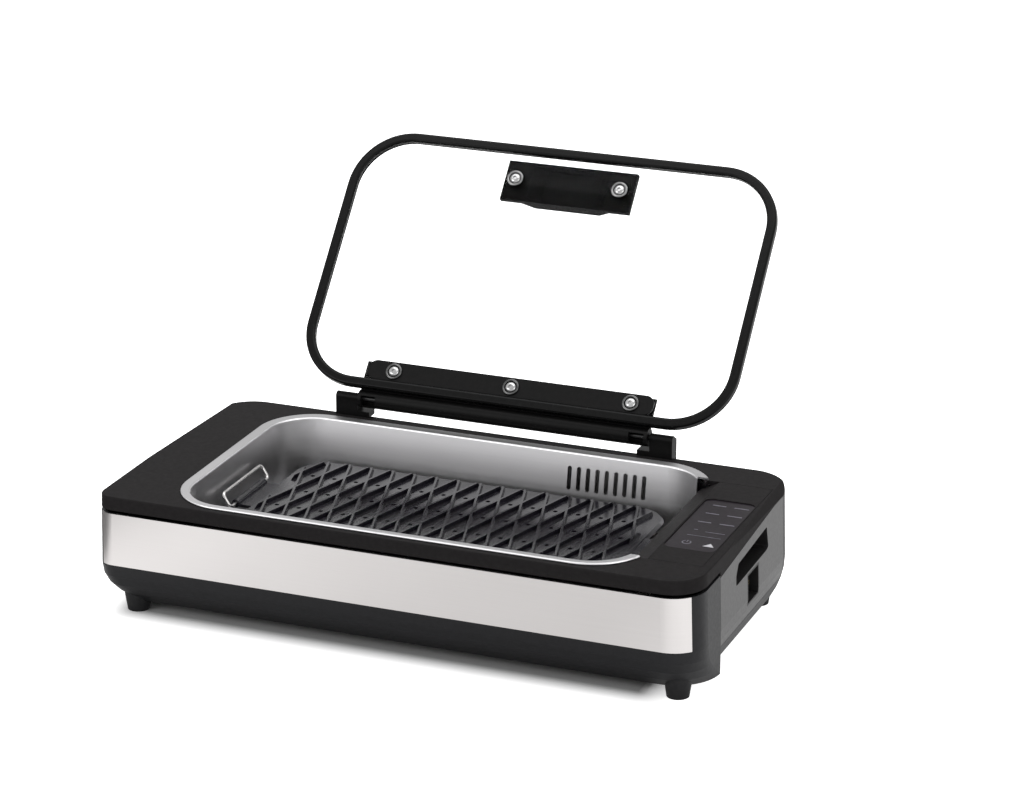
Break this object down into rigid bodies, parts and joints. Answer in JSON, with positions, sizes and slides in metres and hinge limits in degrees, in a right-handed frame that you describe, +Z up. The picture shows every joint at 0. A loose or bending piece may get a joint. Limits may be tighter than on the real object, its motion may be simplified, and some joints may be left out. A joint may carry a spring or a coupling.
{
  "type": "smokeless indoor grill",
  "caption": "Low electric tabletop grill with a ribbed drain plate in a steel basin, a hinged glass lid, a control console at one end and an inner smoke blower.",
  "frame": {"origin": "on the table under the middle of the four feet", "axes": "+X along the long side towards the console, -Y the front, +Z up"},
  "size_m": [0.539, 0.4302, 0.3289],
  "materials": {
    "case_plastic": "glossy dark plastic",
    "band_steel": "satin stainless sheet",
    "end_plastic": "glossy dark plastic",
    "cover_plastic": "fine matt texture",
    "screw_steel": "bright zinc plated",
    "foot_rubber": "matt",
    "basin_steel": "satin pressed sheet with a bright rim",
    "seal_rubber": "matt silicone",
    "tray_aluminium": "pressed sheet",
    "element_steel": "heat darkened tube",
    "bracket_steel": "plain sheet",
    "ceramic": "unglazed ceramic",
    "panel_plastic": "glossy printed film",
    "board_resin": "lacquered board",
    "component_plastic": "moulded",
    "socket_plastic": "moulded",
    "contact_brass": "bare",
    "hinge_plastic": "satin black",
    "lid_glass": "clear toughened",
    "rim_plastic": "glossy black",
    "handle_plastic": "satin black",
    "plate_coating": "cast plate with a black release coating",
    "wire_steel": "bright wire"
  },
  "bodies": {
    "base": {"base_tub": "case_plastic", "front_band": "band_steel", "end_cover_left": "end_plastic", "end_cover_right": "end_plastic", "top_cover": "cover_plastic", "case_screws": "screw_steel", "foot_front_left": "foot_rubber", "foot_front_right": "foot_rubber", "foot_rear_right": "foot_rubber", "foot_rear_left": "foot_rubber", "basin": "basin_steel", "basin_seal": "seal_rubber", "drip_tray": "tray_aluminium", "heating_element": "element_steel", "element_bearers": "bracket_steel", "element_bushings": "ceramic", "thermal_sensor": "bracket_steel", "thermal_cutout": "ceramic", "heat_shield": "bracket_steel", "control_console": "cover_plastic", "control_overlay": "panel_plastic", "control_board": "board_resin", "touch_springs": "screw_steel", "power_board": "board_resin", "power_components": "component_plastic", "inlet_socket": "socket_plastic", "inlet_pins": "contact_brass", "fan_duct": "bracket_steel", "fan_scroll": "socket_plastic", "fan_motor": "bracket_steel", "hinge_post_left": "hinge_plastic", "hinge_post_right": "hinge_plastic", "hinge_pins": "screw_steel", "post_screws": "screw_steel"},
    "lid": {"lid_glass": "lid_glass", "lid_rim": "rim_plastic", "hinge_seals": "seal_rubber", "hinge_plate": "hinge_plastic", "hinge_bar": "hinge_plastic", "hinge_screws": "screw_steel", "lid_handle": "handle_plastic", "handle_washers": "seal_rubber", "handle_screws": "screw_steel"},
    "plate": {"grill_plate": "plate_coating"},
    "left_wire": {"bail_left": "wire_steel"},
    "right_wire": {"bail_right": "wire_steel"},
    "fan": {"fan_impeller": "socket_plastic", "fan_shaft": "screw_steel"}
  },
  "joints": [
    {"name": "lid_hinge", "type": "hinge", "parent": "base", "child": "lid", "pos_m": [-0.0025, 0.131, 0.1267], "axis": [1, 0, 0], "range_deg": [0, 131.3]},
    {"name": "plate_lift", "type": "slide", "parent": "base", "child": "plate", "axis": [0, 0, -1], "range_m": [-0.15, 0]},
    {"name": "left_bail", "type": "hinge", "parent": "plate", "child": "left_wire", "pos_m": [-0.1855, -0.0045, 0.0783], "axis": [0, 1, 0], "range_deg": [0, 112]},
    {"name": "right_bail", "type": "hinge", "parent": "plate", "child": "right_wire", "pos_m": [0.1855, -0.0045, 0.0783], "axis": [0, -1, 0], "range_deg": [0, 112]},
    {"name": "fan_spin", "type": "hinge", "parent": "base", "child": "fan", "pos_m": [0.226, 0.083, 0.073], "axis": [0, 1, 0], "continuous": true}
  ]
}
